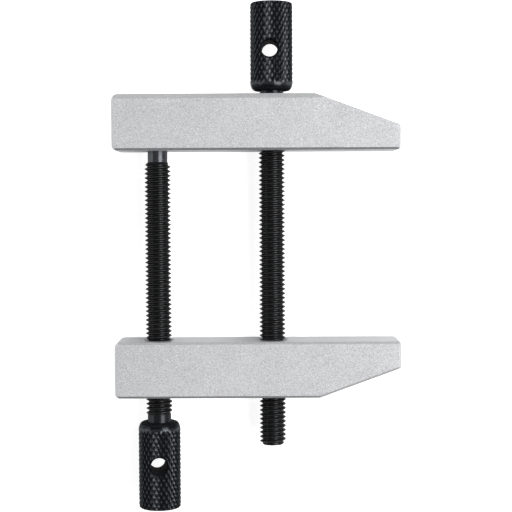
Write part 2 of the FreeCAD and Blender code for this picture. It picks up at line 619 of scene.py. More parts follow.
def carved(shape: bmesh.types.BMesh, cutters: list[bmesh.types.BMesh]) -> bmesh.types.BMesh:
    """Cut closed shapes out of another.

    Args:
        shape: Mesh to cut, freed by this call.
        cutters: Meshes to take away, freed by this call.

    Returns:
        The mesh that is left.
    """
    stock = rough_object(shape, "stock")
    tools = [rough_object(cutter, "cutter") for cutter in cutters]
    for tool in tools:
        cut = stock.modifiers.new("cut", "BOOLEAN")
        cut.operation = "DIFFERENCE"
        cut.solver = "EXACT"
        cut.object = tool
    graph = bpy.context.evaluated_depsgraph_get()
    result = bmesh.new()
    result.from_mesh(stock.evaluated_get(graph).to_mesh())
    for thing in [stock, *tools]:
        mesh = thing.data
        bpy.data.objects.remove(thing)
        bpy.data.meshes.remove(mesh)
    bmesh.ops.remove_doubles(result, verts=result.verts[:], dist=MERGE)
    return result


@dataclass
class Piece:
    """A finished piece of the clamp and what it stands for.

    Attributes:
        node: Construction node that it replaces, which also names it.
        body: Body that it moves with.
        slot: Record's material slot; not used.
        materials: Materials by face index.
        smooth_angle: Edges that turn by less than this many degrees are shaded smooth.
    """

    node: str
    body: Body
    slot: Slot
    materials: list[bpy.types.Material]
    smooth_angle: float = 32.0

    def finish(self, shape: bmesh.types.BMesh) -> bpy.types.Object:
        """Scale a mesh to metres and put it in the clamp.

        Args:
            shape: Mesh in millimetres, freed by this call.

        Returns:
            The finished object.
        """
        bmesh.ops.transform(shape, matrix=Matrix.Scale(MM, 4), verts=shape.verts[:])
        thing = rough_object(shape, self.node)
        for material in self.materials:
            thing.data.materials.append(material)
        thing.data.shade_smooth()
        thing.data.set_sharp_from_angle(angle=math.radians(self.smooth_angle))
        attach(thing, self.body.value)
        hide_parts(self.node)
        triangles = sum(len(face.vertices) - 2 for face in thing.data.polygons)
        log.info("%s: %d triangles on %s", self.node, triangles, self.body.value)
        return thing


@dataclass(frozen=True)
class BevelRule:
    """Range of directions in which bevels take one painted light or shade.

    Attributes:
        finish: Painted light or shade that they take, as an index of the jaw's materials.
        x_below: Upper limit of the normal's X.
        y_above: Lower limit of its Y.
        y_below: Upper limit of its Y.
    """

    finish: JawFinish
    x_below: float
    y_above: float = -1.0
    y_below: float = 1.0

    def holds(self, normal: Vector) -> bool:
        """Whether a bevel with this normal takes the finish."""
        return normal.x < self.x_below and self.y_above < normal.y < self.y_below


# A bevel takes the painted light or shade of the first rule that holds: painted light on bevels facing the
# tail, painted shade on bevels facing -Y, half shade on those facing -Y towards the nose and on those
# facing +Y
BEVEL_RULES = (
    BevelRule(JawFinish.PAINTED_LIGHT_BEVEL, x_below=-0.3),
    BevelRule(JawFinish.PAINTED_SHADE_BEVEL, x_below=0.1, y_below=-0.2),
    BevelRule(JawFinish.PAINTED_HALF_SHADE_BEVEL, x_below=0.3, y_below=-0.2),
    BevelRule(JawFinish.PAINTED_HALF_SHADE_BEVEL, x_below=0.1, y_above=0.5),
)


@dataclass
class Jaw:
    """Square steel jaw with a tapered nose, lying along X.

    Attributes:
        node: Construction node and name of the piece.
        body: Body that it moves with.
        outward: Side that faces away from the work.
        taper_length: Length of the taper along the jaw.
        nose_height: Height left at the nose.
        outer_bevel: Wider bevel along the long outer edges, or 0 for none.
        tail_outer_radius: Corner radius at the tail, on the outer side.
        nose_outer_radius: Corner radius at the nose, on the outer side.
        edge_bevel: Bevel round both side faces.
        tail_inner_radius: Corner radius at the tail, on the clamping side.
        nose_inner_radius: Corner radius at the nose, on the clamping side.
        corner_steps: Faces round a corner.
        soft_edge: Width of the softening that blasting leaves on every edge.
        flat_angle: Faces that meet at less than this many degrees are joined before the softening.
        felt_angle: Edges that turn by more than this many degrees are softened.
        ground_within: Faces this near to the plane of the clamping face are ground.
        least_rise: Least share of Z in the normal of a bevel.
        most_rise: Greatest share of Z in the normal of a bevel.
        smooth_angle: Edges that turn by less than this many degrees are shaded smooth.
        box: Box of the node.
    """

    node: str
    body: Body
    outward: Outward
    taper_length: float
    nose_height: float
    outer_bevel: float
    tail_outer_radius: float
    nose_outer_radius: float
    edge_bevel: float = 0.5
    tail_inner_radius: float = 1.1
    nose_inner_radius: float = 0.6
    corner_steps: int = 8
    soft_edge: float = 0.09
    flat_angle: float = 0.5
    felt_angle: float = 17.0
    ground_within: float = 0.02
    least_rise: float = 0.3
    most_rise: float = 0.95
    smooth_angle: float = 24.0
    box: NodeBox = field(init=False)

    def __post_init__(self) -> None:
        """Read the jaw's size from the frame."""
        self.box = NodeBox.of(self.node)

    @property
    def inner(self) -> float:
        """Y of the clamping face."""
        return self.box.low.y if self.outward is Outward.UP else self.box.high.y

    @property
    def outer(self) -> float:
        """Y of the outer side."""
        return self.box.high.y if self.outward is Outward.UP else self.box.low.y

    def blank(self) -> bmesh.types.BMesh:
        """Bevelled jaw without holes.

        Returns:
            The closed mesh.
        """
        tail, nose = self.box.low.x, self.box.high.x
        nose_outer = self.inner + self.outward.value * self.nose_height
        corners = [
            (tail, self.inner, self.tail_inner_radius),
            (tail, self.outer, self.tail_outer_radius),
            (nose - self.taper_length, self.outer, 0.0),
            (nose, nose_outer, self.nose_outer_radius),
            (nose, self.inner, self.nose_inner_radius),
        ]
        shape = bmesh.new()
        outline = [shape.verts.new((x, y, self.box.low.z)) for x, y, _ in corners]
        side = shape.faces.new(outline)
        grown = bmesh.ops.extrude_face_region(shape, geom=[side])
        lifted = [item for item in grown["geom"] if isinstance(item, bmesh.types.BMVert)]
        bmesh.ops.translate(shape, verts=lifted, vec=UP * (self.box.high.z - self.box.low.z))
        bmesh.ops.recalc_face_normals(shape, faces=shape.faces[:])
        for x, y, radius in corners:
            if radius > 0:
                self.round_corner(shape, Vector((x, y, 0.0)), radius)
        self.bevel_sides(shape)
        if self.outer_bevel > 0:
            for height, sign in ((self.box.low.z, -1.0), (self.box.high.z, 1.0)):
                self.bevel_outer_edge(shape, height, sign)
        self.soften(shape)
        return shape

    def round_corner(self, shape: bmesh.types.BMesh, corner: Vector, radius: float) -> None:
        """Round one upright corner of the outline.

        Args:
            shape: Jaw's mesh.
            corner: Place of the corner; its height is not read.
            radius: Radius of the rounding.
        """
        upright = [
            edge for edge in shape.edges
            if all((vert.co.xy - corner.xy).length < MERGE for vert in edge.verts)
        ]
        turn = upright[0].calc_face_angle()
        bmesh.ops.bevel(shape, geom=upright, offset=radius * math.tan(turn / 2), affect="EDGES",
                        offset_type="OFFSET", segments=self.corner_steps, profile=0.5, material=-1)

    def bevel_sides(self, shape: bmesh.types.BMesh) -> None:
        """Bevel every edge round both side faces.

        Args:
            shape: Jaw's mesh.
        """
        flat = [
            edge for edge in shape.edges
            if abs(edge.verts[0].co.z - edge.verts[1].co.z) < MERGE
        ]
        bmesh.ops.bevel(shape, geom=flat, offset=self.edge_bevel, affect="EDGES",
                        offset_type="OFFSET", segments=1, profile=0.5, material=-1)

    def bevel_outer_edge(self, shape: bmesh.types.BMesh, height: float, sign: float) -> None:
        """Cut the wider bevel along one long outer edge.

        Args:
            shape: Jaw's mesh.
            height: Height of the side face that the edge bounds.
            sign: Sign of Z that leaves the metal there.
        """
        point = Vector((0.0, self.outer - self.outward.value * self.outer_bevel, height))
        normal = Vector((0.0, self.outward.value, sign)).normalized()
        cut = bmesh.ops.bisect_plane(
            shape, geom=shape.verts[:] + shape.edges[:] + shape.faces[:],
            plane_co=point, plane_no=normal, dist=ON_PLANE, clear_outer=True,
        )
        rim = [item for item in cut["geom_cut"] if isinstance(item, bmesh.types.BMEdge)]
        bmesh.ops.edgenet_fill(shape, edges=rim)
        bmesh.ops.recalc_face_normals(shape, faces=shape.faces[:])

    def soften(self, shape: bmesh.types.BMesh) -> None:
        """Take the sharpness off every edge that turns enough to be felt.

        Args:
            shape: Jaw's mesh.
        """
        bmesh.ops.dissolve_limit(shape, angle_limit=math.radians(self.flat_angle),
                                 verts=shape.verts[:], edges=shape.edges[:])
        felt_angle = math.radians(self.felt_angle)
        felt = [
            edge for edge in shape.edges
            if len(edge.link_faces) == 2 and edge.calc_face_angle() > felt_angle
        ]
        bmesh.ops.bevel(shape, geom=felt, offset=self.soft_edge, affect="EDGES",
                        offset_type="OFFSET", segments=2, profile=0.5, material=-1, clamp_overlap=True)

    def finish_faces_and_paint_bevel_light(self, shape: bmesh.types.BMesh) -> None:
        """Give the clamping face its ground finish, and the bevels painted light or shade by the way they
        face.

        Args:
            shape: Jaw's mesh.
        """
        shape.normal_update()
        for face in shape.faces:
            if all(abs(vert.co.y - self.inner) < self.ground_within for vert in face.verts):
                face.material_index = JawFinish.GROUND.value
            elif self.least_rise < abs(face.normal.z) < self.most_rise:
                # Painted light or shade on a bevel, by the way it faces the lamps
                face.material_index = self.bevel_painted_light(face.normal).value

    def bevel_painted_light(self, normal: Vector) -> JawFinish:
        """Painted light or shade of the first rule that holds for a bevel's normal, or else the jaw's own
        blasted finish.
        """
        fitting = (rule.finish for rule in BEVEL_RULES if rule.holds(normal))
        return next(fitting, JawFinish.BLASTED)

    def build(self, holes: list[bmesh.types.BMesh],
              materials: list[bpy.types.Material]) -> bpy.types.Object:
        """Make the jaw.

        Args:
            holes: Shapes to cut out.
            materials: Its finishes and the painted light and shade of its bevels, in the order of
                JawFinish.

        Returns:
            The finished object.
        """
        shape = self.blank()
        self.finish_faces_and_paint_bevel_light(shape)
        shape = carved(shape, holes)
        piece = Piece(self.node, self.body, Slot.JAW, materials, self.smooth_angle)
        thing = piece.finish(shape)
        flatten = thing.modifiers.new("weighted_normals", "WEIGHTED_NORMAL")
        flatten.keep_sharp = True
        return thing


@dataclass
class Drill:
    """Cutters for the jaws' round holes along a screw's axis.

    Attributes:
        axis: A point of the axis.
        steps: Faces round a hole.
        past: How far a cutter runs past a face.
    """

    axis: Vector
    steps: int = 96
    past: float = 1.0

    def through(self, radius: float, low: float, high: float,
                low_mouth: float, high_mouth: float) -> bmesh.types.BMesh:
        """Cutter for a through hole with a 45 degree lead-in at each mouth.

        Args:
            radius: Radius of the hole.
            low: Y of the lower face.
            high: Y of the upper face.
            low_mouth: Depth of the lead-in at the lower face.
            high_mouth: Depth of the lead-in at the upper face.

        Returns:
            The cutter.
        """
        return revolved([
            Ring(0.0, low - self.past),
            Ring(radius + low_mouth + self.past, low - self.past),
            Ring(radius, low + low_mouth),
            Ring(radius, high - high_mouth),
            Ring(radius + high_mouth + self.past, high + self.past),
            Ring(0.0, high + self.past),
        ], self.axis, self.steps)

    def blind(self, radius: float, low: float, depth: float, mouth: float) -> bmesh.types.BMesh:
        """Cutter for a blind hole that opens downwards.

        Args:
            radius: Radius of the hole.
            low: Y of the face that it opens in.
            depth: Depth of the hole.
            mouth: Depth of the lead-in.

        Returns:
            The cutter.
        """
        return revolved([
            Ring(0.0, low - self.past),
            Ring(radius + mouth + self.past, low - self.past),
            Ring(radius, low + mouth),
            Ring(radius, low + depth),
            Ring(0.0, low + depth),
        ], self.axis, self.steps)


@dataclass
class Thread:
    """Right-hand M6 thread.

    Attributes:
        crest: Radius of the crests.
        pitch: Advance of one turn.
        depth: Depth of the thread.
        crest_flat: Width of the crests.
        flank_angle: Lean of the flanks in degrees.
        rounding: How far the corners of crests and roots are eased.
        steps: Faces round one turn.
        run_out: Length over which the groove fades at an end.
        spare_turns: Turns that start below the low end and are cut off there.
    """

    crest: float
    pitch: float = 1.0
    depth: float = 0.61
    crest_flat: float = 0.13
    flank_angle: float = 30.0
    rounding: float = 0.02
    steps: int = 48
    run_out: float = 0.7
    spare_turns: float = 1.5

    @property
    def root(self) -> float:
        """Radius at the bottom of the groove."""
        return self.crest - self.depth

    def tooth(self) -> list[Ring]:
        """Profile of one pitch.

        Returns:
            Rings from root to root, with the first at 0 along the axis.
        """
        half_crest = self.crest_flat / 2
        flank = (self.depth - 2 * self.rounding) * math.tan(math.radians(self.flank_angle))
        middle = self.pitch / 2
        return [
            Ring(self.root, 0.0),
            Ring(self.root + self.rounding, middle - half_crest - flank),
            Ring(self.crest - self.rounding, middle - half_crest),
            Ring(self.crest, middle),
            Ring(self.crest - self.rounding, middle + half_crest),
            Ring(self.root + self.rounding, middle + half_crest + flank),
            Ring(self.root, self.pitch),
        ]

    def cut(self, axis: Vector, low: float, high: float, phase: float) -> bmesh.types.BMesh:
        """Open helical surface between two heights.

        Args:
            axis: A point of the axis.
            low: Y at which the thread begins.
            high: Y at which it ends.
            phase: Share of a turn by which the helix is shifted.

        Returns:
            The open mesh, with one loose rim at each end.
        """
        shape = bmesh.new()
        start = low - self.pitch * (self.spare_turns + phase)
        teeth = math.ceil((high - start) / self.pitch) + 1
        points = [Vector((axis.x + self.root, start, axis.z))]
        for index in range(teeth):
            points += [
                Vector((axis.x + ring.radius, start + index * self.pitch + ring.y, axis.z))
                for ring in self.tooth()[1:]
            ]
        edges = edge_chain(shape, points)
        bmesh.ops.spin(shape, geom=shape.verts[:] + edges, cent=axis, axis=ALONG_SCREWS,
                       dvec=ALONG_SCREWS * (self.pitch / self.steps),
                       angle=2 * math.pi, steps=self.steps)
        bmesh.ops.remove_doubles(shape, verts=shape.verts[:], dist=MERGE)
        for height, sign in ((low, -1.0), (high, 1.0)):
            bmesh.ops.bisect_plane(
                shape, geom=shape.verts[:] + shape.edges[:] + shape.faces[:],
                plane_co=Vector((0.0, height, 0.0)), plane_no=ALONG_SCREWS * sign,
                dist=ON_PLANE, clear_outer=True,
            )
        return shape


@dataclass
class Spindle:
    """Threaded spindle with plain ends.

    Attributes:
        node: Construction node and name of the piece.
        body: Body that it moves with.
        low_end: Rings of the plain end below the thread, from the thread downwards.
        high_end: Rings of the plain end above the thread, from the thread upwards.
        thread: Thread between them.
        low_taper: Height over which the thread's crests come down at its low end.
        high_taper: Height over which they come down at its high end.
        phase: Share of a turn by which the helix is shifted.
        rim_within: Loose edges this near to an end's height are the thread's rim there.
    """

    node: str
    body: Body
    low_end: list[Ring]
    high_end: list[Ring]
    thread: Thread
    low_taper: float
    high_taper: float
    phase: float
    rim_within: float = 0.01

    def limits(self, y: float) -> tuple[float, float]:
        """Least and greatest radius of the thread at a height.

        Args:
            y: Height along the axis.

        Returns:
            The least and the greatest radius.
        """
        low, high = self.low_end[0], self.high_end[0]
        least, greatest = self.thread.root, self.thread.crest
        ends = (
            (y - low.y, low.radius, self.low_taper),
            (high.y - y, high.radius, self.high_taper),
        )
        for distance, end_radius, taper in ends:
            fall = max(0.0, 1.0 - distance / taper)
            greatest = min(greatest, self.thread.crest + (end_radius - self.thread.crest) * fall)
            fade = max(0.0, 1.0 - distance / self.thread.run_out)
            least = max(least, self.thread.root + (end_radius - self.thread.root) * fade)
        return min(least, greatest), greatest

    def build(self, materials: list[bpy.types.Material]) -> bpy.types.Object:
        """Make the spindle.

        Args:
            materials: Its finishes, in the order of SpindleFinish.

        Returns:
            The finished object.
        """
        middle = NodeBox.of(self.node).middle
        axis = Vector((middle.x, 0.0, middle.z))
        shape = self.thread.cut(axis, self.low_end[0].y, self.high_end[0].y, self.phase)
        for vert in shape.verts:
            arm = Vector((vert.co.x - axis.x, 0.0, vert.co.z - axis.z))
            least, greatest = self.limits(vert.co.y)
            radius = min(max(arm.length, least), greatest)
            arm *= radius / arm.length
            vert.co.x, vert.co.z = axis.x + arm.x, axis.z + arm.z
        for end in (self.low_end, self.high_end):
            self.close_end(shape, axis, end)
        bmesh.ops.recalc_face_normals(shape, faces=shape.faces[:])
        piece = Piece(self.node, self.body, Slot.SPINDLE, materials)
        return piece.finish(shape)

    def close_end(self, shape: bmesh.types.BMesh, axis: Vector, end: list[Ring]) -> None:
        """Extrude the thread's rim along a plain profile and close it.

        Args:
            shape: Spindle's mesh.
            axis: A point of the axis.
            end: Rings from the thread outwards.
        """
        start = end[0].y
        rim = [
            edge for edge in shape.edges
            if edge.is_boundary and all(abs(vert.co.y - start) < self.rim_within for vert in edge.verts)
        ]
        for ring in end[1:]:
            grown = bmesh.ops.extrude_edge_only(shape, edges=rim)["geom"]
            for vert in [item for item in grown if isinstance(item, bmesh.types.BMVert)]:
                arm = Vector((vert.co.x - axis.x, 0.0, vert.co.z - axis.z)).normalized()
                vert.co = Vector((axis.x, ring.y, axis.z)) + arm * ring.radius
            for face in [item for item in grown if isinstance(item, bmesh.types.BMFace)]:
                face.material_index = SpindleFinish.TURNED.value
            rim = [item for item in grown if isinstance(item, bmesh.types.BMEdge)]
        bmesh.ops.edgenet_fill(shape, edges=rim)


@dataclass
class KnurledHead:
    """Round-shouldered head with a diamond knurl and a countersunk tommy bar hole.

    Attributes:
        node: Construction node and name of the piece.
        body: Body that it moves with.
        axis: A point of the head's axis.
        outward: Way from the shoulder to the free end.
        hole_turn: Tip of the hole's upper end towards the noses, in degrees.
        hole_from_shoulder: Distance of the cross hole from the shoulder.
        shoulder_inset: Radial width of the shoulder's rounding.
        shoulder_drop: Length of that rounding along the axis.
        shoulder_steps: Rows of faces over the rounding.
        end_chamfer: Chamfer at the free end.
        bore_radius: Radius of the bore for the spigot.
        bore_depth: Depth of that bore.
        bore_mouth: Chamfer at its mouth.
        hole_radius: Radius of the cross hole.
        hole_offset: How far its middle lies off the axis, towards the tails.
        sink_width: Width of the countersink at each mouth.
        sink_angle: Angle across a countersink in degrees.
        hole_steps: Faces round the cross hole.
        drill_past: How far its cutter runs past the head.
        diamonds_round: Diamonds round the head.
        diamond_length: Length of a diamond along the axis.
        knurl_depth: Depth of the grooves.
        shallow_share: Share of that depth that the grooves of the other hand have.
        knurl_start: Distance from the shoulder at which the knurl begins.
        knurl_run_in: Length over which the knurl reaches its full depth.
        land: Share of a diamond that is flat on top.
        painted_shade_length: Length of the shoulder that takes the painted shade.
        parts: Faces across half a diamond.
        smooth_angle: Edges that turn by less than this many degrees are shaded smooth.
        box: Box of the node.
    """

    node: str
    body: Body
    axis: Vector
    outward: Outward
    hole_turn: float
    hole_from_shoulder: float
    shoulder_inset: float = 1.15
    shoulder_drop: float = 2.0
    shoulder_steps: int = 14
    end_chamfer: float = 0.3
    bore_radius: float = 2.65
    bore_depth: float = 6.2
    bore_mouth: float = 0.25
    hole_radius: float = 1.8
    hole_offset: float = 0.4
    sink_width: float = 0.55
    sink_angle: float = 60.0
    hole_steps: int = 72
    drill_past: float = 1.0
    diamonds_round: int = 26
    diamond_length: float = 1.95
    knurl_depth: float = 0.28
    shallow_share: float = 0.8
    knurl_start: float = 1.3
    knurl_run_in: float = 0.9
    land: float = 0.12
    painted_shade_length: float = 0.5
    parts: int = 4
    smooth_angle: float = 16.0
    box: NodeBox = field(init=False)

    def __post_init__(self) -> None:
        """Read the head's size from the frame."""
        self.box = NodeBox.of(self.node)

    @property
    def radius(self) -> float:
        """Radius over the knurl."""
        return self.box.radius

    @property
    def length(self) -> float:
        """Length from shoulder to free end."""
        return self.box.high.y - self.box.low.y

    @property
    def shoulder(self) -> float:
        """Y of the shoulder."""
        return self.box.low.y if self.outward is Outward.UP else self.box.high.y

    def turned_radius(self, distance: float) -> float:
        """Greatest radius that the turned ends leave at a distance from the shoulder.

        Args:
            distance: Distance from the shoulder.

        Returns:
            The radius.
        """
        share = min(1.0, max(0.0, 1.0 - distance / self.shoulder_drop))
        rounded = self.radius - self.shoulder_inset * (1.0 - math.sqrt(1.0 - share * share))
        chamfered = self.radius - max(0.0, distance - (self.length - self.end_chamfer))
        return min(rounded, chamfered)

    def rows(self) -> list[float]:
        """Distances of the rows of points on the head's side from the shoulder.

        Returns:
            The distances, close together over the steep part of the rounding.
        """
        rounding = [
            self.shoulder_drop * (1.0 - math.cos(math.pi / 2 * index / self.shoulder_steps))
            for index in range(self.shoulder_steps)
        ]
        step = self.diamond_length / 2 / self.parts
        straight = self.length - self.end_chamfer - self.shoulder_drop
        count = math.ceil(straight / step)
        side = [self.shoulder_drop + straight * index / count for index in range(count + 1)]
        return rounding + side + [self.length - self.end_chamfer / 2, self.length]

    def profile(self) -> list[Ring]:
        """Half section of the head before it is knurled.

        Returns:
            Rings from the bottom of the bore over the shoulder to the free end.
        """
        from_shoulder = [
            (0.0, self.bore_depth),
            (self.bore_radius, self.bore_depth),
            (self.bore_radius, self.bore_mouth),
            (self.bore_radius + self.bore_mouth, 0.0),
            *[(self.turned_radius(row), row) for row in self.rows()],
            (0.0, self.length),
        ]
        way = self.outward.value
        return [Ring(radius, self.shoulder + way * distance) for radius, distance in from_shoulder]

    def groove(self, turn: float, distance: float) -> float:
        """Depth of the knurl at a place.

        Args:
            turn: Angle round the axis as a share of a full turn.
            distance: Distance from the shoulder.

        Returns:
            How far the surface lies below the crests.
        """
        round_share = turn * self.diamonds_round
        along_share = distance / self.diamond_length
        deepest = 0.0
        waves = (
            (round_share + along_share, self.shallow_share),
            (round_share - along_share, 1.0),
        )
        for wave, share in waves:
            fraction = wave - math.floor(wave)
            ridge = 1.0 - abs(2.0 * fraction - 1.0)
            deepest = max(deepest, share * (1.0 - min(1.0, ridge / (1.0 - self.land))))
        begun = min(1.0, max(0.0, (distance - self.knurl_start) / self.knurl_run_in))
        return self.knurl_depth * deepest * begun

    def build(self, materials: list[bpy.types.Material]) -> bpy.types.Object:
        """Make the head.

        Args:
            materials: Its knurl's finish and its painted shade, in the order of HeadFinish.

        Returns:
            The finished object.
        """
        shape = revolved(self.profile(), self.axis, self.diamonds_round * 2 * self.parts)
        self.knurl(shape)
        # Painted shade on the shoulder next to the jaw, where shadow falls
        for face in shape.faces:
            if abs(face.calc_center_median().y - self.shoulder) < self.painted_shade_length:
                face.material_index = HeadFinish.PAINTED_SHADE.value
        # Painted shade on the walls of the tommy bar hole
        drill = self.cross_drill()
        for face in drill.faces:
            face.material_index = HeadFinish.PAINTED_SHADE.value
        shape = carved(shape, [drill])
        piece = Piece(self.node, self.body, Slot.HEAD, materials, self.smooth_angle)
        return piece.finish(shape)

    def knurl(self, shape: bmesh.types.BMesh) -> None:
        """Press the diamond pattern into the head's side, with the ends turned after it.

        Args:
            shape: Head's mesh.
        """
        bore_rim = self.bore_radius + self.bore_mouth + MERGE
        for vert in shape.verts:
            arm = Vector((vert.co.x - self.axis.x, 0.0, vert.co.z - self.axis.z))
            if arm.length > bore_rim:
                turn, distance = self.around(vert.co)
                knurled = self.radius - self.groove(turn, distance)
                arm *= min(knurled, self.turned_radius(distance)) / arm.length
                vert.co.x, vert.co.z = self.axis.x + arm.x, self.axis.z + arm.z
        for face in [face for face in shape.faces if len(face.verts) == 4]:
            self.crease(face)

    def around(self, point: Vector) -> tuple[float, float]:
        """Angle of a point round the axis, as a share of a turn, and its distance from the shoulder."""
        turn = math.atan2(point.x - self.axis.x, point.z - self.axis.z) / (2 * math.pi)
        return turn, abs(point.y - self.shoulder)

    def crease(self, face: bmesh.types.BMFace) -> None:
        """Split a quad of the knurl along the line that keeps its groove straight.

        Args:
            face: Quad to split.
        """
        centre = face.calc_center_median()
        if (centre.xz - self.axis.xz).length < self.radius - self.shoulder_inset:
            return
        turn, distance = self.around(centre)
        half_round = math.floor(turn * self.diamonds_round * 2)
        half_along = math.floor(distance / self.diamond_length * 2)
        rising = (half_round + half_along) % 2 == 0

        def reach(vert: bmesh.types.BMVert) -> float:
            """Measure how far a corner lies along the groove's direction.

            Args:
                vert: Corner of the quad.

            Returns:
                Its distance from the quad's middle, in diamonds.
            """
            corner_turn, corner_distance = self.around(vert.co)
            corner_turn -= turn
            across = (corner_turn - round(corner_turn)) * self.diamonds_round
            along = (corner_distance - distance) / self.diamond_length
            return across + along if rising else across - along

        ordered = sorted(face.verts, key=reach)
        bmesh.utils.face_split(face, ordered[0], ordered[-1])

    def cross_drill(self) -> bmesh.types.BMesh:
        """Cutter for the tommy bar hole with a countersink at both mouths.

        Returns:
            The cutter.
        """
        slope = math.tan(math.radians(self.sink_angle / 2))
        sink_start = self.radius - self.sink_width / slope
        reach = self.radius + self.drill_past
        widest = self.hole_radius + self.sink_width + self.drill_past * slope
        shape = revolved([
            Ring(0.0, -reach),
            Ring(widest, -reach),
            Ring(self.hole_radius, -sink_start),
            Ring(self.hole_radius, sink_start),
            Ring(widest, reach),
            Ring(0.0, reach),
        ], Vector((0.0, 0.0, 0.0)), self.hole_steps)
        upright = Matrix.Rotation(math.radians(90.0), 4, "X")
        turn = Matrix.Rotation(math.radians(self.hole_turn), 4, ALONG_SCREWS)
        middle = Vector((
            self.axis.x - self.hole_offset,
            self.shoulder + self.outward.value * self.hole_from_shoulder,
            self.axis.z,
        ))
        bmesh.ops.transform(shape, matrix=Matrix.Translation(middle) @ turn @ upright, verts=shape.verts[:])
        return shape


@dataclass
class Lamp:
    """Rectangular soft lamp that faces the clamp.

    Attributes:
        name: Name of the lamp.
        direction: Way from the clamp to the lamp.
        distance: Distance from the clamp in metres.
        width: Width in metres.
        height: Height in metres.
        power: Power in watts.
    """

    name: str
    direction: Vector
    distance: float
    width: float
    height: float
    power: float

    def place(self, target: Vector) -> None:
        """Put the lamp in the scene.

        Args:
            target: Point that it faces.
        """
        data = bpy.data.lights.new(self.name, "AREA")
        data.shape = "RECTANGLE"
        data.size = self.width
        data.size_y = self.height
        data.energy = self.power
        lamp = bpy.data.objects.new(self.name, data)
        bpy.context.scene.collection.objects.link(lamp)
        way = self.direction.normalized()
        lamp.location = target + way * self.distance
        side = ALONG_SCREWS.cross(way).normalized()
        top = way.cross(side)
        lamp.rotation_euler = Matrix((side, top, way)).transposed().to_euler()


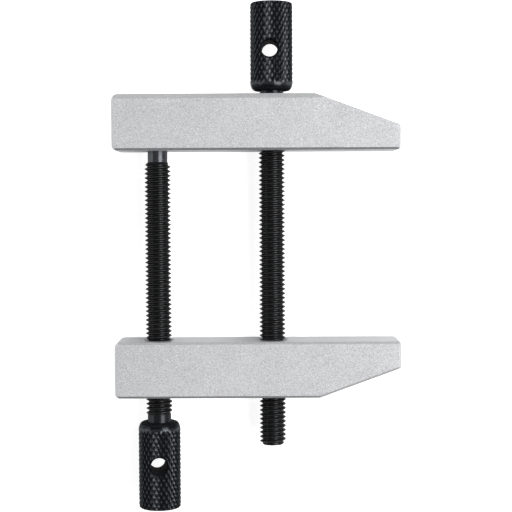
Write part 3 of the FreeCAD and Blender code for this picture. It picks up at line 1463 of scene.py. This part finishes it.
@dataclass
class Studio:
    """White floor, soft lamps and the camera above the clamp.

    Attributes:
        camera_foot: Point below the camera, on the screws' plane, in millimetres.
        camera_height: Camera's height above that plane.
        tilt: Camera's tilt away from straight down, in degrees.
        roll: Camera's turn about its view, in degrees.
        lens: Focal length in millimetres.
        sensor: Width of the sensor in millimetres.
        floor_reach: Distance from the middle of the floor to its sides, in metres.
        floor_gap: Gap under the jaws in millimetres.
        floor_colour: Colour of the floor.
        floor_roughness: Roughness of the floor.
        lit_point: Point that the lamps face, in metres.
        horizon_light: World's strength at the horizon.
        zenith_light: World's strength overhead.
        floor_shine: Light that the floor adds for the camera, so that it shows white.
        floor_in_gloss: The same as glossy surfaces see it.
    """

    camera_foot: Vector = field(default_factory=lambda: Vector((-3.6, 37.45, 6.25)))
    camera_height: float = 292.0
    tilt: float = -2.42
    roll: float = -0.26
    lens: float = 91.1
    sensor: float = 36.0
    floor_reach: float = 2.0
    floor_gap: float = 0.02
    floor_colour: Colour = (0.8, 0.8, 0.8)
    floor_roughness: float = 0.9
    lit_point: Vector = field(default_factory=lambda: Vector((0.0, 0.02, 0.006)))
    horizon_light: float = 0.17
    zenith_light: float = 0.03
    floor_shine: float = 0.85
    floor_in_gloss: float = 0.4

    def build(self) -> None:
        """Set the whole scene round the clamp."""
        self.place_camera()
        self.lay_floor()
        self.light_world()
        for lamp in self.lamps():
            lamp.place(self.lit_point)
        bpy.context.scene.view_settings.view_transform = "Standard"

    def place_camera(self) -> None:
        """Hang the camera over the clamp, looking down."""
        data = bpy.data.cameras.new("camera")
        data.lens = self.lens
        data.sensor_width = self.sensor
        camera = bpy.data.objects.new("camera", data)
        bpy.context.scene.collection.objects.link(camera)
        camera.location = (self.camera_foot + UP * self.camera_height) * MM
        camera.rotation_euler = (math.radians(self.tilt), 0.0, math.radians(self.roll))
        bpy.context.scene.camera = camera

    def lay_floor(self) -> None:
        """Lay a white floor under the jaws."""
        shape = bmesh.new()
        bmesh.ops.create_grid(shape, x_segments=1, y_segments=1, size=self.floor_reach)
        bmesh.ops.translate(shape, verts=shape.verts[:], vec=-UP * self.floor_gap * MM)
        floor = rough_object(shape, "floor")
        floor.data.materials.append(self.floor_material())

    def floor_material(self) -> bpy.types.Material:
        """White floor that shows as white in the picture and in gloss.

        Returns:
            The material.
        """
        nodes = NodeTree("white_floor")
        nodes.shader.inputs["Base Color"].default_value = (*self.floor_colour, 1.0)
        nodes.shader.inputs["Roughness"].default_value = self.floor_roughness
        nodes.shader.inputs["Specular IOR Level"].default_value = 0.0
        path = nodes.add("ShaderNodeLightPath")
        mirrored = nodes.math("MAXIMUM", path.outputs["Is Glossy Ray"], path.outputs["Is Transmission Ray"])
        in_gloss = nodes.math("MULTIPLY", mirrored, self.floor_in_gloss)
        direct = nodes.math("MULTIPLY", path.outputs["Is Camera Ray"], self.floor_shine)
        nodes.shader.inputs["Emission Color"].default_value = (1.0, 1.0, 1.0, 1.0)
        nodes.link(nodes.math("ADD", direct, in_gloss), nodes.shader.inputs["Emission Strength"])
        return nodes.material

    def light_world(self) -> None:
        """Fill the room with dim light, paler at the horizon, that shows white to the camera."""
        world = bpy.data.worlds.new("studio")
        bpy.context.scene.world = world
        world.use_nodes = True
        tree = world.node_tree
        place = tree.nodes.new("ShaderNodeTexCoord")
        split = tree.nodes.new("ShaderNodeSeparateXYZ")
        tree.links.new(place.outputs["Generated"], split.inputs["Vector"])
        height = tree.nodes.new("ShaderNodeMapRange")
        tree.links.new(split.outputs["Z"], height.inputs["Value"])
        height.inputs["To Min"].default_value = self.horizon_light
        height.inputs["To Max"].default_value = self.zenith_light
        path = tree.nodes.new("ShaderNodeLightPath")
        level = tree.nodes.new("ShaderNodeMapRange")
        tree.links.new(path.outputs["Is Camera Ray"], level.inputs["Value"])
        tree.links.new(height.outputs["Result"], level.inputs["To Min"])
        level.inputs["To Max"].default_value = 1.0
        background = tree.nodes["Background"]
        background.inputs["Color"].default_value = (1.0, 1.0, 1.0, 1.0)
        tree.links.new(level.outputs["Result"], background.inputs["Strength"])

    def lamps(self) -> list[Lamp]:
        """Soft lamps round the clamp.

        Returns:
            The lamps.
        """
        return [
            Lamp("right_panel", Vector((0.60, 0.04, 0.80)),
                 distance=1.0, width=0.65, height=1.45, power=12.7),
            Lamp("left_panel", Vector((-0.95, 0.10, 0.35)),
                 distance=1.6, width=0.9, height=1.9, power=6.6),
            Lamp("top_panel", Vector((0.0, 1.0, 0.45)),
                 distance=2.0, width=2.4, height=0.9, power=9.0),
        ]


@dataclass
class Clamp:
    """The whole clamp, put together from the frame's sizes.

    Attributes:
        tapped_clearance: Gap round the spindles in the tapped holes.
        guide_clearance: Gap round the centre spindle in the upper jaw.
        lead_in: Lead-in at the mouths of holes.
        seat_depth: Depth of the seat for the centre head.
        socket_clearance: Gap round the rear spindle's tip.
        socket_depth: Depth of the blind socket.
        socket_lead_in: Lead-in at the socket's mouth.
        neck_radius: Radius of the necks.
        neck_length: Length of a neck between shoulder and thread.
        neck_run_out: Taper from the neck to the thread.
        spigot_length: How far a neck runs on inside its head.
        end_chamfer: Chamfer at the centre spindle's end.
        tip_radius: Radius of the rear spindle's tip.
        tip_shown: Length of the tip below the upper jaw.
        tip_chamfer: Chamfer at the tip's end.
        centre_phase: Share of a turn by which the centre spindle's helix is shifted.
        rear_phase: The same for the rear spindle.
        thread_wear: Depth below the threads' crests at which wear ends.
        knurl_wear: The same on the knurl, as a share of its depth.
    """

    tapped_clearance: float = 0.05
    guide_clearance: float = 0.35
    lead_in: float = 0.5
    seat_depth: float = 1.0
    socket_clearance: float = 0.05
    socket_depth: float = 4.6
    socket_lead_in: float = 0.3
    neck_radius: float = 2.65
    neck_length: float = 1.95
    neck_run_out: float = 0.4
    spigot_length: float = 6.2
    end_chamfer: float = 0.7
    tip_radius: float = 2.225
    tip_shown: float = 2.45
    tip_chamfer: float = 0.6
    centre_phase: float = 0.775
    rear_phase: float = 0.05
    thread_wear: float = 0.5
    knurl_wear: float = 0.6

    def build(self) -> None:
        """Build every piece."""
        centre = NodeBox.of("centre_spindle")
        rear = NodeBox.of("rear_spindle")
        self.build_jaws(centre, rear)
        self.build_spindles(centre, rear)
        self.build_heads(centre, rear)

    def build_jaws(self, centre: NodeBox, rear: NodeBox) -> None:
        """Build both jaws.

        Args:
            centre: Box of the centre spindle.
            rear: Box of the rear spindle.
        """
        steels_and_painted_shades = (
            BlastedSteel(),
            GroundSteel(),
            # Painted light and shade for the bevels: a darker, a mid-grey and a paler copy of the blasted
            # steel
            BlastedSteel("painted_shade_bevel", pit_colour=(0.22, 0.224, 0.232), crest_colour=(0.44, 0.445, 0.455)),
            BlastedSteel("painted_half_shade_bevel", pit_colour=(0.36, 0.364, 0.372), crest_colour=(0.70, 0.705, 0.715)),
            BlastedSteel("painted_light_bevel", pit_colour=(0.72, 0.725, 0.735), crest_colour=(0.97, 0.975, 0.99)),
        )
        finishes = [steel.material() for steel in steels_and_painted_shades]
        centre_drill, rear_drill = Drill(centre.middle), Drill(rear.middle)

        lower = Jaw("lower_jaw", Body.LOWER_JAW, Outward.DOWN, taper_length=18.05, nose_height=5.95,
                    outer_bevel=0.0, tail_outer_radius=1.0, nose_outer_radius=0.6)
        tapped = centre.radius + self.tapped_clearance
        lower.build([
            drill.through(tapped, lower.box.low.y, lower.box.high.y, self.lead_in, self.lead_in)
            for drill in (centre_drill, rear_drill)
        ], finishes)

        upper = Jaw("upper_jaw", Body.UPPER_JAW, Outward.UP, taper_length=18.9, nose_height=5.5,
                    outer_bevel=1.1, tail_outer_radius=1.4, nose_outer_radius=0.9)
        upper.build([
            centre_drill.through(centre.radius + self.guide_clearance, upper.box.low.y,
                                 upper.box.high.y, self.lead_in, self.seat_depth),
            rear_drill.blind(self.tip_radius + self.socket_clearance, upper.box.low.y,
                             self.socket_depth, self.socket_lead_in),
        ], finishes)

    def build_spindles(self, centre: NodeBox, rear: NodeBox) -> None:
        """Build both spindles.

        Args:
            centre: Box of the centre spindle.
            rear: Box of the rear spindle.
        """
        crest = centre.radius
        centre_shoulder = centre.high.y - self.spigot_length
        rear_shoulder = rear.low.y + self.spigot_length
        tip_start = NodeBox.of("upper_jaw").low.y - self.tip_shown
        Spindle(
            "centre_spindle", Body.CENTRE_SCREW,
            low_end=[Ring(crest - self.end_chamfer, centre.low.y)],
            high_end=[
                Ring(self.neck_radius, centre_shoulder - self.neck_length + self.neck_run_out),
                Ring(self.neck_radius, centre.high.y),
            ],
            thread=Thread(crest), low_taper=self.end_chamfer, high_taper=self.neck_run_out,
            phase=self.centre_phase,
        ).build(self.spindle_finishes(centre))
        Spindle(
            "rear_spindle", Body.REAR_SCREW,
            low_end=[
                Ring(self.neck_radius, rear_shoulder + self.neck_length - self.neck_run_out),
                Ring(self.neck_radius, rear.low.y),
            ],
            high_end=[
                Ring(self.tip_radius, tip_start),
                Ring(self.tip_radius, rear.high.y - self.tip_chamfer),
                Ring(self.tip_radius - self.tip_chamfer, rear.high.y),
            ],
            thread=Thread(crest), low_taper=self.neck_run_out, high_taper=crest - self.tip_radius,
            phase=self.rear_phase,
        ).build(self.spindle_finishes(rear))

    def spindle_finishes(self, spindle: NodeBox) -> list[bpy.types.Material]:
        """Finishes of a spindle's thread and of its turned ends, brightest on the tip.

        Args:
            spindle: Box of the spindle.

        Returns:
            Both materials, in the order of SpindleFinish.
        """
        middle, crest = spindle.middle, spindle.radius
        thread = BlackOxide("thread_oxide", middle.x, middle.z, crest - self.thread_wear, crest)
        turned = TurnedOxide("turned_oxide", middle.x, middle.z, self.neck_radius, self.tip_radius)
        return [thread.material(), turned.material()]

    def build_heads(self, centre: NodeBox, rear: NodeBox) -> None:
        """Build both knurled heads.

        Args:
            centre: Box of the centre spindle.
            rear: Box of the rear spindle.
        """
        heads = (
            KnurledHead("centre_knob", Body.CENTRE_SCREW, centre.middle, Outward.UP,
                        hole_turn=-1.5, hole_from_shoulder=9.1),
            KnurledHead("rear_knob", Body.REAR_SCREW, rear.middle, Outward.DOWN,
                        hole_turn=7.5, hole_from_shoulder=9.55),
        )
        # Painted shade for the hole walls and the shoulders next to the jaws
        painted_shade_finish = PaintedShadeBlack().material()
        for head in heads:
            worn_from = head.radius - head.knurl_depth * self.knurl_wear
            finish = KnurledOxide(f"{head.node}_oxide", head.axis.x, head.axis.z, worn_from, head.radius)
            head.build([finish.material(), painted_shade_finish])


def main() -> None:
    """Build the clamp and its studio."""
    logging.basicConfig(level=logging.INFO)
    Clamp().build()
    Studio().build()


if __name__ == "__main__":
    main()
